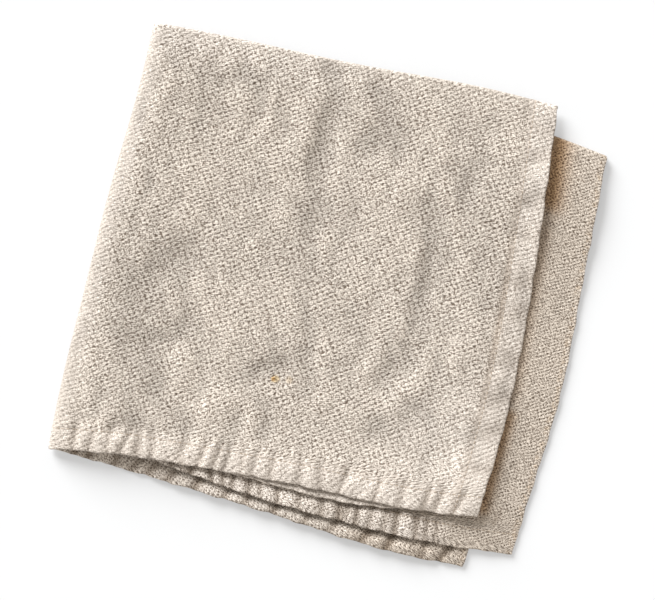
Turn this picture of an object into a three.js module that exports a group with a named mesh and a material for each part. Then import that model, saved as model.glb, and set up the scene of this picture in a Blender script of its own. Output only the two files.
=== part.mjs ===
// Folded linen napkin: one hemmed square of coarse cloth, folded in quarters and laid flat.
// Millimetres, +Z up, resting on Z = 0, with X along the far fold and Y along the left fold.

import * as THREE from 'three';

// Driving sizes of the cloth
const CLOTH_THICK = 1.2;
const HEM_THICK = 1.8;
const HEM_WIDTH = 12;
const HEM_SLOPE = 2;
const MEAN_SIDE = 225;

// Distance from one layer to the next, by where it lies
const SPACING = { field: 2, leftFold: 2.5, farFold: 2.2, hem: 2.5 };
const SPACING_REACH = { leftFold: 34, farFold: 22, hem: 26 };
const FOOTPRINT = { left: -127, far: 124, hemX: 92, hemY: -94 };

// How deep the round of each fold is in plan
const LEFT_FOLD_DEPTH = 3.8;
const FAR_FOLD_DEPTH = 1.2;

// Steps of the sheet's grid
const FOLD_STEPS = 6;
const FIELD_STEPS = 16;
const HEM_LINES = [HEM_WIDTH + HEM_SLOPE, HEM_WIDTH, HEM_WIDTH / 2, 0];

// Looks
const LINEN = { color: 0xcdc2b6, roughness: 0.95, metalness: 0 };

// Corners of the layers seen from above, top layer first
const CORNERS = {
  outerTip: { x: -120, y: 124.4 },
  innerTip: { x: -117.5, y: 124.4 },
  upperFoldEnd: { x: 97.6, y: 123.3 },
  lowerFoldEnd: { x: 128.2, y: 103 },
  outerFoldEnd: { x: -129.8, y: -106.9 },
  innerFoldEnd: { x: -122.8, y: -99 },
  topCorner: { x: 98.6, y: -97.2 },
  secondCorner: { x: 85, y: -99 },
  thirdCorner: { x: 121.4, y: -113.1 },
  lowestCorner: { x: 97.2, y: -124.5 },
};

// Edges and folds between corners, with how far each bows to its left at every fifth of its run
const EDGES = {
  outerFold: { from: 'outerTip', to: 'outerFoldEnd', at20: 0.2, at40: -1.6, at60: -1.8, at80: -1.9 },
  innerFold: { from: 'innerTip', to: 'innerFoldEnd', at20: 0.2, at40: -0.6, at60: -1.0, at80: -0.8 },
  upperFoldOuter: { from: 'outerTip', to: 'upperFoldEnd', at20: 0.6, at40: 0.2, at60: 0.8, at80: 1.8 },
  upperFoldInner: { from: 'innerTip', to: 'upperFoldEnd', at20: 0.6, at40: 0.2, at60: 0.8, at80: 1.8 },
  lowerFoldOuter: { from: 'outerTip', to: 'lowerFoldEnd', at20: 0.6, at40: 1.2, at60: 2.2, at80: 3.2 },
  lowerFoldInner: { from: 'innerTip', to: 'lowerFoldEnd', at20: 0.6, at40: 1.2, at60: 2.2, at80: 3.2 },
  topSide: { from: 'upperFoldEnd', to: 'topCorner', at20: 2.4, at40: 5.0, at60: 6.2, at80: 5.0 },
  secondSide: { from: 'upperFoldEnd', to: 'secondCorner', at20: 0.8, at40: 1.6, at60: 2.0, at80: 1.4 },
  thirdSide: { from: 'lowerFoldEnd', to: 'thirdCorner', at20: 2.1, at40: 4.2, at60: 5.4, at80: 2.8 },
  lowestSide: { from: 'lowerFoldEnd', to: 'lowestCorner', at20: 0.4, at40: -0.2, at60: -1.0, at80: -1.8 },
  topHem: { from: 'outerFoldEnd', to: 'topCorner', at20: 2.5, at40: 2.6, at60: 1.5, at80: -1.2 },
  secondHem: { from: 'innerFoldEnd', to: 'secondCorner', at20: -0.2, at40: -1.2, at60: -4.8, at80: -4.9 },
  thirdHem: { from: 'innerFoldEnd', to: 'thirdCorner', at20: -0.6, at40: -4.7, at60: -6.1, at80: -5.2 },
  lowestHem: { from: 'outerFoldEnd', to: 'lowestCorner', at20: 0.2, at40: -0.3, at60: -1.6, at80: -2.9 },
};

// The four layers, top first: their edges, how many layers lie below, and how much of each crease they take
const LAYERS = [
  { left: 'outerFold', far: 'upperFoldOuter', side: 'topSide', near: 'topHem', below: 3, creased: 1 },
  { left: 'innerFold', far: 'upperFoldInner', side: 'secondSide', near: 'secondHem', below: 2, creased: 0.7 },
  { left: 'innerFold', far: 'lowerFoldInner', side: 'thirdSide', near: 'thirdHem', below: 1, creased: 0.38 },
  { left: 'outerFold', far: 'lowerFoldOuter', side: 'lowestSide', near: 'lowestHem', below: 0, creased: 0 },
];

// Soft creases in the top layer, from one end to the other: troughs go down, ridges up
const CREASES = [
  { x0: -21, y0: 114, x1: -16, y1: 36, width: 9, rise: -0.9 },
  { x0: -16, y0: 22, x1: 0, y1: -38, width: 10, rise: -0.4 },
  { x0: 7, y0: 110, x1: 8, y1: 84, width: 8, rise: -0.6 },
  { x0: 44, y0: 56, x1: 51, y1: -2, width: 10, rise: -0.8 },
  { x0: 48, y0: -18, x1: 33, y1: -41, width: 9, rise: -0.8 },
  { x0: 62, y0: 104, x1: 62, y1: 62, width: 8, rise: -0.5 },
  { x0: 84, y0: 50, x1: 90, y1: -20, width: 7, rise: -0.5 },
  { x0: -114, y0: -24, x1: -80, y1: 8, width: 11, rise: -0.7 },
  { x0: -106, y0: -50, x1: -75, y1: -30, width: 10, rise: -0.6 },
  { x0: -33, y0: -49, x1: -15, y1: -35, width: 8, rise: -0.9 },
  { x0: -99, y0: -90, x1: -60, y1: -80, width: 8, rise: -0.6 },
  { x0: 40, y0: -64, x1: 57, y1: -47, width: 8, rise: -0.7 },
  { x0: -106, y0: 101, x1: -58, y1: 106, width: 7, rise: -0.5 },
  { x0: -43, y0: 64, x1: -38, y1: 40, width: 10, rise: 0.6 },
  { x0: -54, y0: -71, x1: -48, y1: -66, width: 10, rise: 0.7 },
  { x0: 76, y0: -88, x1: 84, y1: -80, width: 12, rise: 0.8 },
  { x0: 20, y0: 60, x1: 26, y1: 10, width: 14, rise: 0.5 },
];

// Places where one layer stands off the next or sinks to the surface
const LIFTS = [
  { layer: 0, x: 97, y: 104, reachX: 34, reachY: 44, rise: 3.6 },
  { layer: 1, x: 97, y: 106, reachX: 30, reachY: 36, rise: 2.4 },
  { layer: 0, x: 99, y: -70, reachX: 26, reachY: 34, rise: 1.9 },
  { layer: 1, x: 88, y: -74, reachX: 24, reachY: 30, rise: 0.8 },
  { layer: 0, x: -100, y: -107, reachX: 36, reachY: 24, rise: 2.2 },
  { layer: 0, x: 10, y: -98, reachX: 30, reachY: 16, rise: 0.5 },
  { layer: 2, x: 120, y: 30, reachX: 14, reachY: 70, rise: -0.5 },
  { layer: 2, x: 126, y: -116, reachX: 15, reachY: 15, rise: -2.1 },
];

// Slow waves along the near hems, the top layer's the highest
const HEM_WAVES = [
  { pitch: 43, rise: 0.3 },
  { pitch: 27, rise: 0.2 },
];

// Step from 0 to 1 with soft ends
function softStep(value) {
  const share = Math.min(Math.max(value, 0), 1);
  return share * share * (3 - 2 * share);
}

// Round bump of height 1 that fades with distance
function bump(distance) {
  return Math.exp(-distance * distance);
}

// Distance that an edge bows to its left, as a sum of waves through its four table values
function bowOf(edge, along) {
  const bows = [edge.at20, edge.at40, edge.at60, edge.at80];
  const parts = bows.length + 1;
  let sum = 0;
  for (let wave = 1; wave < parts; wave += 1) {
    let weight = 0;
    bows.forEach((bow, index) => {
      weight += bow * Math.sin(Math.PI * wave * (index + 1) / parts);
    });
    sum += (2 / parts) * weight * Math.sin(Math.PI * wave * along);
  }
  return sum;
}

// Point on an edge at a share of its run
function edgePoint(name, along) {
  const edge = EDGES[name];
  const from = CORNERS[edge.from];
  const to = CORNERS[edge.to];
  const run = new THREE.Vector2(to.x - from.x, to.y - from.y);
  const left = new THREE.Vector2(-run.y, run.x).normalize();
  const point = new THREE.Vector2(from.x, from.y).addScaledVector(run, along);
  return point.addScaledVector(left, bowOf(edge, along));
}

// Point of one layer in plan, blended between its four edges
function layerPoint(layer, across, down) {
  const left = edgePoint(layer.left, down);
  const side = edgePoint(layer.side, down);
  const far = edgePoint(layer.far, across);
  const near = edgePoint(layer.near, across);
  const farLeft = edgePoint(layer.far, 0);
  const farSide = edgePoint(layer.far, 1);
  const nearLeft = edgePoint(layer.near, 0);
  const nearSide = edgePoint(layer.near, 1);
  const point = new THREE.Vector2();
  point.addScaledVector(left, 1 - across).addScaledVector(side, across);
  point.addScaledVector(far, 1 - down).addScaledVector(near, down);
  point.addScaledVector(farLeft, -(1 - across) * (1 - down)).addScaledVector(farSide, -across * (1 - down));
  point.addScaledVector(nearLeft, -(1 - across) * down).addScaledVector(nearSide, -across * down);
  return point;
}

// Distance from one layer to the next at a place in plan
function spacingAt(x, y) {
  const leftShare = bump((x - FOOTPRINT.left) / SPACING_REACH.leftFold);
  const farShare = bump((y - FOOTPRINT.far) / SPACING_REACH.farFold);
  const sideShare = softStep((x - FOOTPRINT.hemX) / SPACING_REACH.hem + 1);
  const nearShare = softStep((FOOTPRINT.hemY - y) / SPACING_REACH.hem + 1);
  const hemShare = 1 - (1 - sideShare) * (1 - nearShare);
  const shares = [leftShare, farShare, hemShare];
  const gains = [SPACING.leftFold, SPACING.farFold, SPACING.hem].map((value) => value - SPACING.field);
  const most = Math.max(...shares.map((share, index) => share * gains[index]));
  return SPACING.field + most;
}

// Rise of the slow waves along the near hems, for a stack of one layer
function hemWaveRise(x, y) {
  const nearShare = softStep((FOOTPRINT.hemY - y) / SPACING_REACH.hem + 1);
  let rise = 0;
  HEM_WAVES.forEach((wave) => {
    rise += wave.rise * Math.sin(2 * Math.PI * x / wave.pitch) / (LAYERS.length - 1);
  });
  return nearShare * rise;
}

// Rise of one crease at a place in plan
function creaseRise(crease, x, y) {
  const runX = crease.x1 - crease.x0;
  const runY = crease.y1 - crease.y0;
  const dot = (x - crease.x0) * runX + (y - crease.y0) * runY;
  const along = Math.min(Math.max(dot / (runX * runX + runY * runY), 0), 1);
  const distance = Math.hypot(x - crease.x0 - along * runX, y - crease.y0 - along * runY);
  return crease.rise * bump(distance / crease.width);
}

// Rise of one lift at a place in plan
function liftRise(lift, x, y) {
  return lift.rise * bump(Math.hypot((x - lift.x) / lift.reachX, (y - lift.y) / lift.reachY));
}

// Height of the middle of one layer at a place in plan
function layerHeight(index, x, y, thick) {
  const layer = LAYERS[index];
  if (layer.below === 0) {
    return thick / 2;
  }
  let height = CLOTH_THICK / 2 + layer.below * (spacingAt(x, y) + hemWaveRise(x, y));
  CREASES.forEach((crease) => {
    height += layer.creased * creaseRise(crease, x, y);
  });
  LIFTS.filter((lift) => lift.layer === index).forEach((lift) => {
    height += liftRise(lift, x, y);
  });
  return height;
}

// Stations along one direction of the cloth: its turn at the fold, and its share of the run from the fold
function stations(foldDepth) {
  const list = [];
  for (let step = 0; step <= FOLD_STEPS; step += 1) {
    const angle = Math.PI * (step / FOLD_STEPS - 0.5);
    const share = foldDepth * (1 - Math.cos(angle)) / MEAN_SIDE;
    list.push({ turn: Math.sin(angle), lean: Math.cos(angle), share });
  }
  const first = foldDepth / MEAN_SIDE;
  const last = 1 - HEM_LINES[0] / MEAN_SIDE;
  const shares = [];
  for (let step = 1; step < FIELD_STEPS; step += 1) {
    shares.push(first + (last - first) * step / FIELD_STEPS);
  }
  HEM_LINES.forEach((line) => shares.push(1 - line / MEAN_SIDE));
  shares.forEach((share) => {
    list.push({ turn: 1, lean: 0, share });
    list.unshift({ turn: -1, lean: 0, share });
  });
  return list;
}

// Thickness of the cloth: thicker in the hems, plain along the selvedge
function thicknessAt(column, row) {
  const fromSide = (1 - column.share) * MEAN_SIDE;
  const fromNear = (1 - row.share) * MEAN_SIDE;
  const sideHem = column.turn > 0 ? softStep((HEM_WIDTH + HEM_SLOPE - fromSide) / HEM_SLOPE) : 0;
  const nearHem = softStep((HEM_WIDTH + HEM_SLOPE - fromNear) / HEM_SLOPE);
  return CLOTH_THICK + (HEM_THICK - CLOTH_THICK) * Math.max(sideHem, nearHem);
}

// How much each of the four layers counts at a station, top layer first
function layerWeights(column, row) {
  const upper = (1 + column.turn) / 2;
  const outer = (1 + row.turn) / 2;
  return [upper * outer, upper * (1 - outer), (1 - upper) * (1 - outer), (1 - upper) * outer];
}

// Middle of the cloth at a station
function middlePoint(column, row, thick) {
  const weights = layerWeights(column, row);
  const plan = new THREE.Vector2();
  LAYERS.forEach((layer, index) => {
    if (weights[index] > 0) {
      plan.addScaledVector(layerPoint(layer, column.share, row.share), weights[index]);
    }
  });
  let height = 0;
  weights.forEach((weight, index) => {
    if (weight > 0) {
      height += weight * layerHeight(index, plan.x, plan.y, thick);
    }
  });
  return new THREE.Vector3(plan.x, plan.y, height);
}

// Direction in which the good face of the cloth points at a station
function faceDirection(column, row) {
  return new THREE.Vector3(-row.turn * column.lean, row.lean, row.turn * column.turn);
}

// Points of both faces of the cloth, good face first
function clothPoints(columns, rows) {
  const good = [];
  const back = [];
  columns.forEach((column) => {
    rows.forEach((row) => {
      const thick = thicknessAt(column, row);
      const middle = middlePoint(column, row, thick);
      const offset = faceDirection(column, row).multiplyScalar(thick / 2);
      good.push(...middle.clone().add(offset));
      back.push(...middle.clone().sub(offset));
    });
  });
  return [...good, ...back];
}

// Grid points round the rim of one face, in order
function rimCorners(columnCount, rowCount, at) {
  const rim = [];
  for (let row = 0; row + 1 < rowCount; row += 1) {
    rim.push(at(0, row));
  }
  for (let column = 0; column + 1 < columnCount; column += 1) {
    rim.push(at(column, rowCount - 1));
  }
  for (let row = rowCount - 1; row > 0; row -= 1) {
    rim.push(at(columnCount - 1, row));
  }
  for (let column = columnCount - 1; column > 0; column -= 1) {
    rim.push(at(column, 0));
  }
  return rim;
}

// Triangles of both faces and of the rim that closes them
function clothTriangles(columnCount, rowCount) {
  const faceSize = columnCount * rowCount;
  const at = (column, row) => column * rowCount + row;
  const triangles = [];
  const quad = (a, b, c, d) => triangles.push(a, b, c, a, c, d);
  for (let column = 0; column + 1 < columnCount; column += 1) {
    for (let row = 0; row + 1 < rowCount; row += 1) {
      const corners = [at(column, row), at(column, row + 1), at(column + 1, row + 1), at(column + 1, row)];
      quad(...corners);
      quad(...corners.reverse().map((corner) => corner + faceSize));
    }
  }
  const rim = rimCorners(columnCount, rowCount, at);
  rim.forEach((corner, index) => {
    const next = rim[(index + 1) % rim.length];
    quad(next, corner, corner + faceSize, next + faceSize);
  });
  return triangles;
}

// The folded sheet, centred over its footprint and resting on Z = 0
function clothGeometry() {
  const columns = stations(LEFT_FOLD_DEPTH);
  const rows = stations(FAR_FOLD_DEPTH);
  const geometry = new THREE.BufferGeometry();
  const points = clothPoints(columns, rows);
  geometry.setAttribute('position', new THREE.Float32BufferAttribute(points, 3));
  geometry.setIndex(clothTriangles(columns.length, rows.length));
  geometry.computeBoundingBox();
  const centre = geometry.boundingBox.getCenter(new THREE.Vector3());
  geometry.translate(-centre.x, -centre.y, -geometry.boundingBox.min.z);
  geometry.computeVertexNormals();
  return geometry;
}

const napkin = new THREE.Mesh(clothGeometry(), new THREE.MeshStandardMaterial(LINEN));
napkin.name = 'napkin';

const foldedNapkin = new THREE.Group();
foldedNapkin.add(napkin);

export default foldedNapkin;
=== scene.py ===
# Folded linen napkin: one hemmed square of coarse cloth, folded in quarters and laid flat

import math

import bpy
import numpy as np
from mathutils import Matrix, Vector


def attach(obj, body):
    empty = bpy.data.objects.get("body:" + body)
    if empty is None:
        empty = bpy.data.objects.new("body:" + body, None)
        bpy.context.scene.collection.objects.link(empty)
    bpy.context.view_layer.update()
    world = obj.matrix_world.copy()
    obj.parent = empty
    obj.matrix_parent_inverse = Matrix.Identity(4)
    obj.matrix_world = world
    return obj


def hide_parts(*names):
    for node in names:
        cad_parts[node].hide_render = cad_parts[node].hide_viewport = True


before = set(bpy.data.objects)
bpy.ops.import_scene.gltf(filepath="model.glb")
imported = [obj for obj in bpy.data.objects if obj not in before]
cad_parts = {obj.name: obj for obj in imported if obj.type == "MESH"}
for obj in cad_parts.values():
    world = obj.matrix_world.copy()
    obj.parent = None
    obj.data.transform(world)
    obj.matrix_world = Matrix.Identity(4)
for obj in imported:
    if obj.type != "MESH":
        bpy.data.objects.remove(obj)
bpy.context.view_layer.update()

MM = 0.001

# Sizes of the cloth in millimetres
CLOTH_THICK = 0.9
HEM_THICK = 1.35
NEAR_HEM = 12
SIDE_HEM = 14.2
HEM_SLOPE = 1.6
MEAN_SIDE = 225
LAYER_BASE = 0.6

# The drawing's corners lie this far from the frame's centre
DRAWING_SHIFT = (0.48, -0.61)

# Distance from one layer to the next in millimetres, by where it lies
SPACING = {"field": 2.0, "left_fold": 2.5, "far_fold": 2.2, "near": 2.5, "side": 1.75}
SPACING_REACH = {"left_fold": 24, "left_edge": 14, "far_fold": 16, "hem": 26}
CREST = {"left_fold": -106, "far_fold": 108, "hem_x": 92, "hem_y": -94}

# How deep the round of each fold is in plan
LEFT_FOLD_DEPTH = 3.8
FAR_FOLD_DEPTH = 1.2
FOLD_PINCH = 0.45

# Steps of the sheet's grid: columns run across the near hems, rows run down the side hem
COLUMN_FOLD_STEPS = 18
COLUMN_STEP = 1.5
COLUMN_HEM_LINES = (2.2, 1.0, 0.35, 0)
ROW_FOLD_STEPS = 12
ROW_STEP = 4.4
ROW_HEM_LINES = (18, 16, 14.4, 13.2, 12.3, 11.6, 11, 10.4, 9.6, 8.4, 6.8, 5.2, 3.6, 2.2, 1.0, 0.35, 0)

# Corners of the folded cloth seen from above, in millimetres
CORNERS = {
    "outer_tip": (-120, 124.4),
    "inner_tip": (-117.5, 124.4),
    "upper_fold_end": (97.6, 123.3),
    "lower_fold_end": (128.2, 103),
    "outer_fold_end": (-129.8, -106.9),
    "inner_fold_end": (-122.8, -99),
    "top_corner": (98.6, -97.2),
    "second_corner": (84, -95.5),
    "third_corner": (121.4, -113.1),
    "lowest_corner": (97.2, -124.5),
}

# Edges and folds between corners, with how far each bows to its left at every fifth of its run
EDGES = {
    "outer_fold": ("outer_tip", "outer_fold_end", (0.2, -1.6, -1.8, -1.9)),
    "inner_fold": ("inner_tip", "inner_fold_end", (0.2, -0.6, -1.0, -0.8)),
    "upper_fold_outer": ("outer_tip", "upper_fold_end", (0.6, 0.2, 0.8, 1.8)),
    "upper_fold_inner": ("inner_tip", "upper_fold_end", (0.6, 0.2, 0.8, 1.8)),
    "lower_fold_outer": ("outer_tip", "lower_fold_end", (0.6, 1.2, 2.2, 3.2)),
    "lower_fold_inner": ("inner_tip", "lower_fold_end", (0.6, 1.2, 2.2, 3.2)),
    "top_side": ("upper_fold_end", "top_corner", (2.4, 5.0, 6.2, 4.7)),
    "second_side": ("upper_fold_end", "second_corner", (0.8, 1.6, 2.0, 1.4)),
    "third_side": ("lower_fold_end", "third_corner", (2.1, 4.2, 5.4, 2.8)),
    "lowest_side": ("lower_fold_end", "lowest_corner", (0.4, -0.2, -1.0, -1.8)),
    "top_hem": ("outer_fold_end", "top_corner", (3.1, 2.7, 1.5, -1.2)),
    "second_hem": ("inner_fold_end", "second_corner", (-0.9, -2.6, -6.0, -6.6)),
    "third_hem": ("inner_fold_end", "third_corner", (-0.6, -4.7, -6.1, -5.2)),
    "lowest_hem": ("outer_fold_end", "lowest_corner", (0.2, -0.3, -1.6, -2.9)),
}

# The four layers, top first: left, far, side and near edge, layers below, and share of each crease
LAYERS = (
    ("outer_fold", "upper_fold_outer", "top_side", "top_hem", 3, 1.0),
    ("inner_fold", "upper_fold_inner", "second_side", "second_hem", 2, 0.7),
    ("inner_fold", "lower_fold_inner", "third_side", "third_hem", 1, 0.38),
    ("outer_fold", "lower_fold_outer", "lowest_side", "lowest_hem", 0, 0.0),
)

# Soft creases in the top layer: start, end, half width and rise in millimetres, troughs below zero
CREASES = (
    ((-21, 116), (-16, 36), 6.5, -1.5),
    ((-33, 92), (-27, 52), 7, 0.7),
    ((-16, 22), (0, -38), 8, -0.7),
    ((7, 110), (8, 84), 6.5, -1.1),
    ((44, 56), (51, -2), 8.5, -1.1),
    ((33, 58), (38, 16), 7, 0.6),
    ((48, -18), (33, -41), 7, -1.2),
    ((62, 104), (62, 62), 6.5, -0.8),
    ((84, 50), (90, -20), 5.5, -0.5),
    ((-102, -19), (-79, 6), 10.5, -1.5),
    ((-96, -47), (-74, -30), 10, -1.3),
    ((-28, -48), (-18, -38), 5.5, -1.5),
    ((-99, -90), (-60, -80), 6, -0.9),
    ((40, -64), (57, -47), 6, -1.1),
    ((-106, 101), (-58, 106), 4.5, -0.6),
    ((-43, 64), (-38, 40), 8, 0.6),
    ((-54, -71), (-48, -66), 8, 0.9),
    ((-36, -74), (-32, -66), 5, -0.8),
    ((-24, -76), (-20, -66), 5, -0.8),
    ((76, -88), (84, -80), 10, 0.9),
    ((20, 60), (26, 10), 10, 0.6),
)

# Creases in the third layer, where it shows at the right
STRIP_CREASES = (
    ((108, -99), (111, -93), 1.8, -0.6),
    ((112, 60), (116, 20), 5, 0.25),
    ((110, -30), (113, -62), 5, -0.25),
)

# Small crumples all over the cloth
CRUMPLES = {
    "count": 300, "from": (-125, -120), "to": (125, 122), "length": (10, 46), "half_width": (2.4, 5),
    "rise": 0.5, "strength": (0.4, 1), "limit": 0.85, "turn": 0.17, "lean": 0.4, "seed": 11,
}

# Waves that make the creases wander and vary: reach, radians per millimetre both ways, and start
DRIFT_ACROSS = ((2.0, 0, 1 / 9.3, 0.7), (1.4, 1 / 19, 1 / 4.7, 2.1))
DRIFT_DOWN = ((2.0, 1 / 10.7, 0, 1.9), (1.4, 1 / 5.3, 1 / 23, 0.4))
RISE_VARIES = ((0.25, 1 / 13, 1 / 8.5, 0.6), (0.15, 1 / 5.1, -1 / 6.7, 0))

# Places where one layer stands off the next or sinks towards it: layer, place, reach and rise
LIFTS = (
    (0, (98, 82), (34, 27), 3.6),
    (1, (97, 84), (30, 24), 2.4),
    (0, (107, -8), (9, 42), -2.0),
    (0, (91, 27), (8, 13), 0.35),
    (0, (99, -70), (26, 30), 1.4),
    (1, (88, -74), (24, 28), 0.6),
    (1, (106, -8), (9, 42), -0.8),
    (0, (-82, -104), (30, 22), 1.2),
    (0, (-132, -109), (10, 13), -4.6),
    (0, (10, -98), (30, 16), 0.5),
    (0, (97, -99), (26, 16), -1.7),
    (1, (86, -97), (26, 16), -0.9),
    (2, (120, 30), (14, 70), -0.5),
    (2, (129, 76), (22, 32), 3.3),
    (2, (123, -55), (10, 45), -0.8),
    (2, (126, -107), (20, 24), -1.8),
)

# Near hems curl up where they lie free of the layer above: layer, the hem above it, reach and rise
FREE_HEMS = (
    (1, "top_hem", 2.6, 1.5),
    (2, "second_hem", 4.5, 2.5),
    (3, "third_hem", 4.8, 3.1),
)
FREE_FROM = (-105, 65)
FREE_TO = (100, 42)

# Slow waves along the near hems: pitch and rise
HEM_WAVES = ((43, 0.3), (27, 0.2))

# Puckers that the thread draws up across each layer's near hem, measured out from the left fold
# Depth and trough are in millimetres; shade and seam are shares of painted shade in the grooves and along
# the seam
NEAR_PUCKERS = (
    {"layer": 0, "depth": 1.6, "shade": 0.34, "trough": 0.12, "seam": 0.12, "half_width": 1.8,
     "slant": 0.1, "fades": 232, "seed": 5,
     "at": (12, 21, 30, 38, 45, 52.5, 68.5, 78.5, 86, 91.5, 100, 106, 115.5, 130, 141, 153, 171, 184, 197,
            203, 214)},
    {"layer": 1, "depth": 0.4, "shade": 0.15, "trough": 0.3, "seam": 0.3, "half_width": 1.8,
     "slant": 0.0, "fades": 232, "seed": 6,
     "at": (14, 27, 40, 51, 66, 79, 93, 104, 118, 129, 143, 152, 168, 181, 195, 206)},
    {"layer": 2, "depth": 1.8, "shade": 0.72, "trough": 0.4, "seam": 0.4, "half_width": 1.7,
     "slant": -0.12, "fades": 192, "seed": 7,
     "at": (16, 25, 36, 44, 53, 63, 72, 79, 84, 92, 97.5, 106.5, 117.5, 129, 137.5, 141.5, 146.5, 153.5,
            160.5, 166, 176, 181, 186)},
    {"layer": 3, "depth": 1.7, "shade": 0.85, "trough": 0.4, "seam": 0.4, "half_width": 2.3,
     "slant": 0.4, "fades": 232, "seed": 8,
     "at": (14, 22, 36, 47, 55.5, 66.5, 80, 97, 108, 123.5, 140, 155, 172.5, 184.5, 202.5, 214)},
)

# Weaker wrinkles across the side hem, measured down from the far fold
# Same columns: shade and seam are shares of painted shade in the grooves and along the seam
SIDE_PUCKERS = (
    {"layer": 0, "depth": 0.8, "shade": 0.3, "trough": 0.2, "seam": 2.3, "half_width": 3.2,
     "slant": 0.3, "seed": 9,
     "at": (15, 29, 52, 70, 96, 113, 139, 160, 178, 199)},
    {"layer": 1, "depth": 0.3, "shade": 0.0, "trough": 0.0, "seam": 0.0, "half_width": 4.0,
     "slant": 0.0, "seed": 10,
     "at": (18, 47, 75, 108, 140, 171, 197)},
)

# How far each pucker may differ from its row, and how far it draws in the edge
PUCKER_VARIES = {"slant": 0.15, "depth": (0.6, 1), "half_width": (0.8, 1.3), "turns_at": 6}
PUCKER_INSET = 0.2

# The sewing draws the side hem in most about half way down
SIDE_DRAWN = (115, 55)
SIDE_DRAWN_LEAST = 0.3

# Free edges wobble a little: pitch and reach of the waves, and how far in they fade
EDGE_WAVES = ((23, 0.22), (11.3, 0.16), (6.1, 0.1))
EDGE_WAVES_IN = 8

# Sewing of the hems
NEAR_STITCHES = 11
SIDE_STITCHES = 13.2
STITCH_PITCH = 2.7
STITCH_LENGTH = 2.2
STITCH_THREAD = 0.42
STITCH_LOWEST = 0.28
STITCH_PINCH = 0.2
STITCH_PINCH_WIDTH = 0.9
STITCH_VARIES = {"Min": (0.85, 0.8, 0.8), "Max": (1.08, 1.1, 1.1), "Seed": 4}

# The seams stop this many stations of the grid short of each end, and lie this near to a station
SEAM_ENDS = 3
NEAR_SEAM_WITHIN = 0.01
SIDE_SEAM_WITHIN = 0.8

# How the sewing shapes each hem: level between grooves, dip and painted dark line of the seam, and where the
# painted shade of the grooves fades
NEAR_SEAM = {"level": 0.45, "dip": (NEAR_STITCHES + 0.5, 1.5), "dark": (NEAR_STITCHES + 0.3, 0.9),
             "shade": (16, 6)}
SIDE_SEAM = {"level": 0.35, "dip": (SIDE_STITCHES + 1, 1.8), "dark": (SIDE_STITCHES + 1, 1.6),
             "shade": (15, 6)}

# The rim is rounded off over this distance, down to a share of the thickness
RIM_ROUND = 0.45
RIM_THIN = 0.35

# Weave: threads per millimetre across and down the cloth for both sets of threads, a little askew
WARP_THREADS = (0.843, -0.0464)
WEFT_THREADS = (0.173, 0.9157)
FINER_BELOW = 1.45
BINDING_EVERY = 5

# How the rows of the weave wander: scale of each noise and its reach in millimetres
WEAVE_WANDER = ((45, 3.6), (120, 1.2), (420, 0.6))

# How much of the threads, the whole weave and the yarn's grain goes into the tone
THREADS_IN_TONE = 0.8
WEAVE_IN_TONE = (0.25, 0.61)
GRAIN_IN_TONE = (1.45, 0.35)
WEAVE_BUMP = 0.16

# Rows of floats: shares of rows and steps, shape of the pits, and how lively they are
FLOATS = {"rows": 0.24, "steps": (0.25, 0.51), "sharp": 2.2, "pits": (-2.0, 0.57)}
FLOATS_VARY = {"scale": 190, "range": (0.25, 0.75, 0.4, 1.5)}

# Grain of the yarn
STROKES = {"along": (0.66, 0.34, 0.0), "across": (0.34, 0.66, 0.0), "roughness": 0.75, "across_share": 0.75}
SPECKLE = {"scale": 1500, "roughness": 0.8, "share": 2.3}

# Streaks of uneven yarn in both thread directions
STREAKS = ((50.0, 620.0, 1.0), (620.0, 50.0, 1.0))

# How open the weave looks in the main field, in the strip at the right, at both folds and in the hems
OPEN_WEAVE = {"field": 1.06, "strip": 0.92, "left": 0.12, "far": 0.5, "hem": 0.44, "lower_hem": 0.95}

# The weave closes up towards each fold: where it starts and how far it takes
CLOSES = {"left": (14, 13), "far": (9, 8)}

# The lower half's finer weave and its painted shade set in over these distances from the left fold
FINER_OVER = 12
LOWER_TONE_OVER = 20

# Stronger painted shade at the right ends of the lower hems, measured from the left fold
DARK_HEM = {"share": 1.6, "third_from": 178, "lowest_from": 150, "over": 26}

# Wear of the top layer's near right corner and near end, measured from the folds
WORN_CORNER = {"across": (222.75, 45), "down": (189, 38.25), "closes": 0.5, "pale": 0.8}
WORN_END = {"from": (175.5, 27), "closes": 0.2}

# Paler cloth: painted light along the left fold, and cloth worn paler in the top layer's hems and in the
# third layer's, which has a gap
PALE_LEFT_FOLD = {"at_fold": 0.2, "rises": (0, 5), "fades": (13, 11), "less": 0.6, "less_from": (135, 56.25)}
PALE_HEMS = {"near": (0.5, 0.3), "side": (1.1, -0.5)}
PALE_THIRD_HEM = {"share": 0.95, "gap": 0.55, "gap_at": (140, 20), "ends": (175, 25)}

# Dotted line along the selvedge
SELVEDGE = {"at": (1.7, 0.9), "scale": 420, "dots": (0.42, 0.62), "tint": (0.90, 0.82, 0.72, 1)}

# Painted brown shade on the third layer beside the top layer's edge, with some brown tinge of the cloth:
# run, reach and share
BROWN_TINGE_AND_PAINTED_SHADE = (
    (((102, 110), (104, 74)), 7, 1.0),
    (((104, 60), (105, -30)), 4, 0.35),
    (((105, -42), (101, -92)), 3.8, 0.85),
)

# The small stain, on the top layer in plan: each spot's step from it, size, strength and tint
STAIN_AT = (-19.8, -47.9)
STAIN_SPOTS = (
    ((0.0, 0.0), 2.6, 0.8, (0.97, 0.82, 0.52, 1)),
    ((-1.3, 0.1), 1.3, 0.8, (0.94, 0.66, 0.30, 1)),
    ((7.3, -1.4), 2.2, 0.4, (0.97, 0.82, 0.58, 1)),
)
TOP_LAYER_ABOVE = 5.2

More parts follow.
